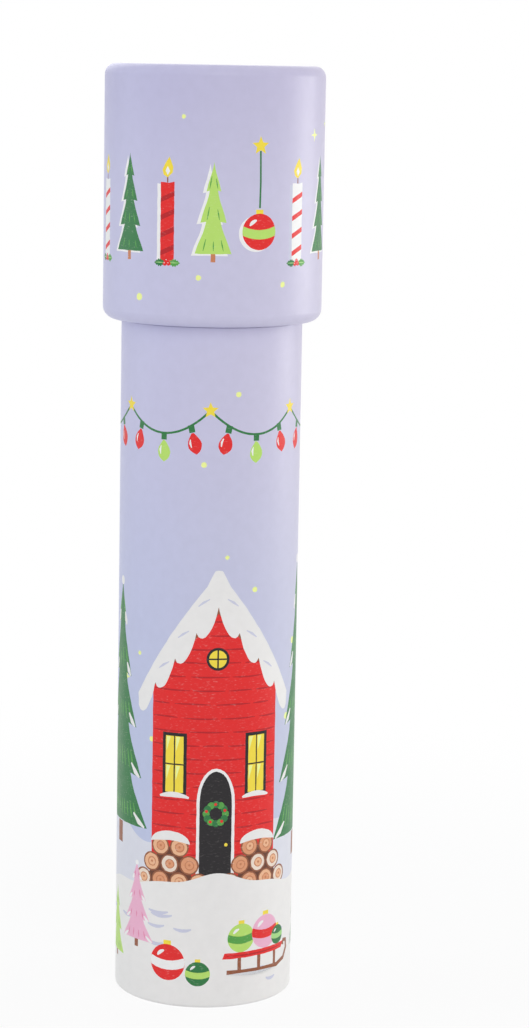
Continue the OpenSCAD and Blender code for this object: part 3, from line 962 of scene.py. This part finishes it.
class Profile:
    """A path round the sheet's section, metal on its left, as bands that know their normals."""

    def __init__(self, r, z):
        self.end = (r, z)
        self.bands = []

    def line(self, r, z, ink=None):
        """A straight band to that point. Bare metal unless it has an ink."""
        dr, dz = r - self.end[0], z - self.end[1]
        length = math.hypot(dr, dz)
        normal = (dz / length, -dr / length)
        self.bands.append(((*self.end, *normal), (r, z, *normal), ink))
        self.end = (r, z)

    def bend(self, centre_r, centre_z, radius, start, end, ink=None, steps=6):
        """A round band about a centre, from one angle to another in degrees."""
        outward = 1 if end > start else -1
        angles = np.radians(np.linspace(start, end, steps + 1))
        rim = [(centre_r + radius * math.cos(a), centre_z + radius * math.sin(a),
                outward * math.cos(a), outward * math.sin(a)) for a in angles]
        self.bands.extend((a, b, ink) for a, b in zip(rim, rim[1:]))
        self.end = rim[-1][:2]


def turn(profile, sheet, skin):
    """Adds a turned profile to a skin, on the sheet's columns. Short bands, which show, get more map."""
    columns = columns_of(sheet)
    shares = [math.sqrt(math.dist(a[:2], b[:2])) for a, b, _ in profile.bands]
    marks = np.r_[0, np.cumsum(shares)] / sum(shares)
    u0, du, v0, dv = EDGE_MAP
    for (a, b, ink), low, high in zip(profile.bands, marks, marks[1:]):
        for left, right in zip(columns, columns[1:]):
            ring = [(left, a, low), (right, a, low), (right, b, high), (left, b, high)]
            points, normals, inked, places = [], [], [], []
            for u, (r, z, nr, nz), mark in ring:
                angle = u / sheet.radius
                s, c = math.sin(angle), -math.cos(angle)
                points.append((r * s, r * c, z))
                normals.append((nr * s, nr * c, nz))
                inked.append(ink_light(ink or "white", angle, z))
                places.append((u0 + du * (u / sheet.half + 1) / 2, v0 + dv * mark))
            skin.face(points, normals, inked, 0, PRINTED if ink else BARE, places)


def tube_edges():
    wall_in, rest_r = TUBE_R - TIN, TUBE_R - RIM_R - RIM_LIP
    neck_r, rim_z = TUBE_R - NECK_STEP, FOOT_Z + RIM_R
    path = Profile(TUBE_R, NECK_Z)
    path.line(neck_r, NECK_Z, "sky")
    path.line(neck_r, TUBE_TOP_Z, "sky")
    path.line(neck_r - TIN, TUBE_TOP_Z)
    path.line(neck_r - TIN, NECK_Z - TIN)
    path.line(wall_in, NECK_Z - TIN)
    path.line(wall_in, rim_z)
    path.bend(TUBE_R - RIM_R, rim_z, RIM_R - TIN, 0, -90)
    path.line(rest_r, FOOT_Z + TIN)
    path.line(rest_r, FOOT_Z, "snow")
    path.line(TUBE_R - RIM_R, FOOT_Z, "snow")
    path.bend(TUBE_R - RIM_R, rim_z, RIM_R, -90, 0, "snow")
    return path


def head_edges():
    wall_in = HEAD_R - TIN
    top_z, shoulder_z = HEAD_TOP_Z - HEAD_TOP_R, HEAD_Z + HEAD_SHOULDER_R
    top_r, shoulder_r = HEAD_R - HEAD_TOP_R, HEAD_R - HEAD_SHOULDER_R
    hem_top = HEAD_Z + TIN + HEM_H
    path = Profile(HEAD_R, top_z)
    path.bend(top_r, top_z, HEAD_TOP_R, 0, 90, "sky", steps=10)
    path.line(WINDOW_LIP_R, HEAD_TOP_Z, "sky")
    path.line(WINDOW_LIP_R, HEAD_TOP_Z - TIN)
    path.line(top_r, HEAD_TOP_Z - TIN)
    path.bend(top_r, top_z, HEAD_TOP_R - TIN, 90, 0, steps=10)
    path.line(wall_in, shoulder_z)
    path.bend(shoulder_r, shoulder_z, HEAD_SHOULDER_R - TIN, 0, -90, steps=10)
    path.line(TUBE_R + TIN, HEAD_Z + TIN)
    path.line(TUBE_R + TIN, hem_top)
    path.line(TUBE_R, hem_top)
    path.line(TUBE_R, HEAD_Z, "sky")
    path.line(shoulder_r, HEAD_Z, "sky")
    path.bend(shoulder_r, shoulder_z, HEAD_SHOULDER_R, -90, 0, "sky", steps=10)
    return path


turn(tube_edges(), tube_sheet, tube_skin)
turn(head_edges(), head_sheet, head_skin)
print("with edges:", len(tube_skin.faces), "and", len(head_skin.faces), "faces")

# %% [markdown]
# ## The lock seam
# The sheet's two ends hook into each other behind the tube and are pressed flat on the inside, which
# leaves a thin line outside. A bent box would need a modifier and a place of its own, so the fold is
# written as a closed strip that follows the wall, with its outer face just in the tin.

# %% Lock seam
SEAM_END = 10.0
FOLD_DEPTH = 2 * TIN
FOLD_STEPS = 6
# Each face of the fold fills this share of its cell of the map.
FOLD_CELL = 0.8
FOLD_MAP = (0.01, 0.98, 0.125, 0.03)


def fold_seam(skin, wall_in, low, high):
    half = SEAM_W / 2 / wall_in
    inner, outer = wall_in - FOLD_DEPTH, wall_in + TIN / 4
    angles = math.pi + np.linspace(-half, half, FOLD_STEPS + 1)

    def at(r, angle, z):
        return r * math.sin(angle), -r * math.cos(angle), z

    quads = []
    for a, b in zip(angles, angles[1:]):
        quads.append((at(inner, b, low), at(inner, a, low), at(inner, a, high), at(inner, b, high)))
        quads.append((at(outer, a, low), at(outer, b, low), at(outer, b, high), at(outer, a, high)))
        quads.append((at(inner, a, high), at(outer, a, high), at(outer, b, high), at(inner, b, high)))
        quads.append((at(inner, b, low), at(outer, b, low), at(outer, a, low), at(inner, a, low)))
    a, b = angles[0], angles[-1]
    quads.append((at(inner, a, low), at(outer, a, low), at(outer, a, high), at(inner, a, high)))
    quads.append((at(outer, b, low), at(inner, b, low), at(inner, b, high), at(outer, b, high)))
    u0, du, v0, dv = FOLD_MAP
    cell = du / len(quads)
    for k, quad in enumerate(quads):
        a, b, c = (Vector(p) for p in quad[:3])
        normal = (b - a).cross(c - a).normalized()
        places = box_outline(u0 + k * cell, u0 + (k + FOLD_CELL) * cell, v0, v0 + dv)
        skin.face(quad, [normal] * 4, [LIGHT_OF_INK["white"]] * 4, 0, BARE, places)


# The head's fold ends a seam's width under the object case.
case_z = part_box("object_case")[0][2] / MM
fold_seam(tube_skin, TUBE_R - TIN, SEAM_END, NECK_Z - SEAM_END)
fold_seam(head_skin, HEAD_R - TIN, HEAD_Z + HEAD_SHOULDER_R + TIN, case_z - SEAM_W)
print("with seams:", len(tube_skin.faces), "and", len(head_skin.faces), "faces")

# %% [markdown]
# ## Finishes: a small kit
# Real finishes vary: in roughness, in tint and in fine relief. Each could be wired by hand in the shader
# editor.

# %% Finish kit
# A Mix node has its sockets once for each kind of data. These are the ones that mix colours.
MIX_SHARE, MIX_A, MIX_B, MIX_COLOUR = 0, 6, 7, 2


class Finish:
    """A Principled material and the few nodes that this lesson adds to it."""

    def __init__(self, name, colour, roughness, **sockets):
        self.material = bpy.data.materials.new(name)
        self.material.use_nodes = True
        self.tree = self.material.node_tree
        self.shader = self.tree.nodes["Principled BSDF"]
        self.shader.inputs["Base Color"].default_value = (*linear(colour), 1)
        self.shader.inputs["Roughness"].default_value = roughness
        for socket, value in sockets.items():
            self.shader.inputs[socket.replace("_", " ")].default_value = value
        self.place = self.add("TexCoord").outputs["Object"]

    def add(self, kind, inputs=None, **settings):
        return wire(self.tree, kind, inputs, **settings)

    def noise(self, size_mm, detail=3.0, stretch=(1, 1, 1)):
        """Noise with features of about this size, drawn out along an axis by stretch."""
        scale = [1 / (size_mm * MM * s) for s in stretch]
        place = self.add("Mapping", {"Vector": self.place, "Scale": scale})
        return self.add("TexNoise", {"Vector": place.outputs[0], "Scale": 1.0, "Detail": detail}).outputs[0]

    def between(self, value, low, high, start=0.3, end=0.7):
        """A value's range from start to end, spread over low to high."""
        sockets = {"Value": value, "From Min": start, "From Max": end, "To Min": low, "To Max": high}
        return self.add("MapRange", sockets).outputs["Result"]

    def mix(self, share, a, b, blend="MIX"):
        """Two colours mixed by a share. A colour is a socket or a chart colour."""
        a, b = (c if isinstance(c, bpy.types.NodeSocket) else (*linear(c), 1) for c in (a, b))
        sockets = {MIX_SHARE: share, MIX_A: a, MIX_B: b}
        return self.add("Mix", sockets, data_type="RGBA", blend_type=blend).outputs[MIX_COLOUR]

    def set(self, socket, value):
        self.tree.links.new(value, self.shader.inputs[socket])

    def rough(self, noise, low, high, **ends):
        """Roughness that follows a noise from low to high."""
        self.set("Roughness", self.between(noise, low, high, **ends))

    def cloud(self, noise, a, b, most=1.0):
        """A colour that goes from a to b, or most of the way, as a noise rises."""
        self.set("Base Color", self.mix(self.between(noise, 0, most), a, b))

    def relief(self, height, depth_mm, strength, under=None):
        """Bump of a depth in millimetres, on top of an earlier bump if there is one."""
        inputs = {"Height": height, "Distance": depth_mm * MM, "Strength": strength}
        if under:
            inputs["Normal"] = under
        bump = self.add("Bump", inputs).outputs[0]
        self.set("Normal", bump)
        return bump


# %% [markdown]
# ## Lithographed tin
# The ink lies on the tin under a satin varnish. The colour comes from the skin's own attribute; noise
# gives it the uneven coat of poster paint, and a drawn-out noise lets the ground grin through where the
# brush ran dry. Sheet metal is never quite flat, so a slow, shallow wave bends the highlight a little.

# %% Lithographed tin
def lithographed_tin():
    finish = Finish("lithographed_tin", INKS["sky"], 0.4, Specular_IOR_Level=0.3, Coat_Weight=0.03,
                    Coat_Roughness=0.22)
    ink = finish.add("Attribute", attribute_name="ink").outputs["Color"]
    dry = finish.add("Attribute", attribute_name="dry_brush").outputs["Fac"]
    coat = finish.between(finish.noise(2.2, detail=5), 0.982, 1.014)
    shades = finish.add("CombineColor", {"Red": coat, "Green": coat, "Blue": coat}).outputs[0]
    painted = finish.mix(1.0, ink, shades, blend="MULTIPLY")
    bristles = finish.noise(0.35, detail=4, stretch=(2.4, 2.4, 0.8))
    drag = finish.between(bristles, 0, 0.3, start=0.58, end=0.72)
    worn = finish.add("Math", {0: drag, 1: dry}, operation="MULTIPLY").outputs[0]
    finish.set("Base Color", finish.mix(worn, painted, (250, 244, 240)))
    finish.rough(finish.noise(1.6, detail=4), 0.35, 0.45)
    wave = finish.relief(finish.noise(16, detail=1), 0.05, strength=0.35)
    finish.relief(finish.noise(0.35, detail=2), 0.006, strength=0.5, under=wave)
    return finish.material


finishes = {"printed_tin": lithographed_tin()}
print("finishes:", list(finishes))

# %% [markdown]
# ## Bare tin
# The sheet's inner side and the eyepiece cup are plain tinplate: bright, with fine streaks along the
# rolling direction and cloudy patches where the tin crystals reflect differently. The shader's anisotropy
# could draw out the highlights, but a stretched noise shows as relief close up as well.

# %% Bare tin
def bare_tin():
    finish = Finish("bare_tin", (206, 207, 211), 0.3, Metallic=1.0)
    finish.cloud(finish.noise(5, detail=4), (201, 202, 206), (212, 213, 217))
    streak = finish.noise(0.12, detail=3, stretch=(1, 60, 1))
    finish.rough(streak, 0.22, 0.34)
    finish.relief(streak, 0.004, strength=0.5)
    return finish.material


finishes["bare_tin"] = bare_tin()
print("finishes:", list(finishes))

# %% [markdown]
# ## The two printed shells
# Each skin takes the place of a packed shell: it rides on the same body, and the imported solid stays for
# collisions only, hidden. A closed skin has no open edge, which the cell counts and prints.

# %% The two printed shells
def open_edges(mesh):
    """Edges that don't lie between exactly two faces."""
    count = np.zeros(len(mesh.edges), int)
    np.add.at(count, [loop.edge_index for loop in mesh.loops], 1)
    return int((count != 2).sum())


def printed_shell(name, skin, node, body):
    piece = skin.build(name, [finishes["printed_tin"], finishes["bare_tin"]])
    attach(piece, body)
    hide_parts(node)
    print(name, "faces", len(piece.data.polygons), "open edges", open_edges(piece.data))


printed_shell("printed_tube", tube_skin, "body_tube", "tube")
printed_shell("printed_head", head_skin, "head_shell", "head")

# %% [markdown]
# ## Clear, frosted and white plastic
# The windows and the case are clear polystyrene with faint moulding ripples. The end window is frosted: a
# rough, milky sheet that spreads the light and blurs the loose pieces. It could be glass mixed with a
# diffuse shader, but one Principled shader with rough transmission does both. The collars are white and
# slightly waxy, with a fine moulded grain.

# %% Clear, frosted and white plastic
def clear_plastic():
    finish = Finish("clear_plastic", (246, 250, 252), 0.04, Transmission_Weight=1.0, IOR=1.49)
    finish.rough(finish.noise(1.2), 0.02, 0.08)
    finish.relief(finish.noise(6, detail=1), 0.02, strength=0.4)
    return finish.material


def frosted_plastic():
    finish = Finish("frosted_plastic", (244, 245, 249), 0.14, Transmission_Weight=0.88, IOR=1.46)
    grain = finish.noise(0.18, detail=2)
    finish.rough(grain, 0.08, 0.14)
    finish.cloud(finish.noise(4), (238, 240, 246), (250, 250, 252))
    finish.relief(grain, 0.006, strength=0.5)
    return finish.material


def white_plastic():
    finish = Finish("white_plastic", (238, 238, 240), 0.45, Specular_IOR_Level=0.45, Subsurface_Weight=0.1,
                    Subsurface_Scale=0.001)
    finish.cloud(finish.noise(7), (232, 232, 234), (242, 242, 243))
    finish.rough(finish.noise(0.7), 0.38, 0.52)
    finish.relief(finish.noise(0.25, detail=2), 0.008, strength=0.5)
    return finish.material


for make in (clear_plastic, frosted_plastic, white_plastic):
    finishes[make.__name__] = make()
print("finishes:", list(finishes))

# %% [markdown]
# ## Card, paper tape and mirrors
# Greyboard is pressed from waste paper, so it has flecks and fibres. Gummed tape is smoother, with faint
# laid lines. The mirrors are silvered strips with an almost clean face and a breath of dust. A picture of
# real board would be quicker to use, but noise needs no file and never repeats.

# %% Card, paper tape and mirrors
def grey_card():
    finish = Finish("grey_card", (170, 155, 134), 0.9, Specular_IOR_Level=0.2)
    fibre = finish.noise(0.3, detail=6, stretch=(1, 1, 3))
    board = finish.mix(finish.between(fibre, 0, 1), (156, 141, 120), (186, 171, 150))
    fleck = finish.between(finish.noise(0.8, detail=2), 0, 0.5, start=0.64, end=0.7)
    finish.set("Base Color", finish.mix(fleck, board, (112, 100, 86)))
    finish.rough(fibre, 0.82, 0.95)
    finish.relief(fibre, 0.03, strength=0.6)
    return finish.material


def paper_tape():
    finish = Finish("paper_tape", (229, 219, 189), 0.75, Specular_IOR_Level=0.25)
    laid = finish.noise(0.25, detail=4, stretch=(8, 8, 1))
    finish.cloud(laid, (219, 207, 174), (238, 229, 203))
    finish.rough(laid, 0.68, 0.82)
    finish.relief(laid, 0.012, strength=0.5)
    return finish.material


def mirror_strip():
    finish = Finish("mirror_strip", (232, 236, 240), 0.03, Metallic=1.0)
    finish.cloud(finish.noise(9), (228, 232, 236), (240, 243, 246))
    finish.rough(finish.noise(0.6, detail=5), 0.015, 0.07, start=0.45, end=0.75)
    return finish.material


for make in (grey_card, paper_tape, mirror_strip):
    finishes[make.__name__] = make()
print("finishes:", list(finishes))

# %% [markdown]
# ## Bead plastics
# The loose pieces are cheap translucent beads in one bright colour a kind, with a swirl of paler plastic
# in each, and pearls with a soft coat. The kinds could share one material that picks its colour by
# object, but a library part is easier to recolour with a material for each, so one function makes them
# all.

# %% Bead plastics
def bead_plastic(name, colour, pale):
    finish = Finish(name, colour, 0.12, Transmission_Weight=0.2, IOR=1.5)
    swirl = finish.noise(1.4, detail=4, stretch=(1, 1, 2.5))
    finish.cloud(swirl, colour, pale, most=0.6)
    finish.rough(finish.noise(0.5), 0.08, 0.2)
    finish.relief(finish.noise(0.4, detail=2), 0.01, strength=0.4)
    return finish.material


def pearl_plastic():
    finish = Finish("pearl_plastic", (243, 240, 230), 0.3, Coat_Weight=0.6, Coat_Roughness=0.12,
                    Sheen_Weight=0.2)
    bloom = finish.noise(0.9, detail=3)
    finish.cloud(bloom, (240, 226, 222), (246, 246, 238))
    finish.rough(bloom, 0.24, 0.36)
    return finish.material


BEAD_COLOURS = {
    "red_plastic": ((222, 30, 42), (246, 96, 92)), "blue_plastic": ((34, 112, 216), (110, 176, 244)),
    "yellow_plastic": ((250, 208, 44), (255, 236, 140)), "green_plastic": ((50, 158, 76), (128, 210, 130)),
    "pink_plastic": ((238, 112, 172), (250, 182, 214)), "violet_plastic": ((130, 80, 198), (186, 146, 234)),
}
finishes["pearl_plastic"] = pearl_plastic()
finishes.update({name: bead_plastic(name, *colours) for name, colours in BEAD_COLOURS.items()})
print("bead colours:", len(BEAD_COLOURS))

# %% [markdown]
# ## Hand out the finishes
# The record names a slot for every node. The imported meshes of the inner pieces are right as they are, so
# each only gets its slot's finish.

# %% Hand out the finishes
for subpart in frame["record"]["subparts"]:
    mesh = frame["nodes"][subpart["node"]].data
    mesh.materials.clear()
    mesh.materials.append(finishes[subpart["material_slot"]])
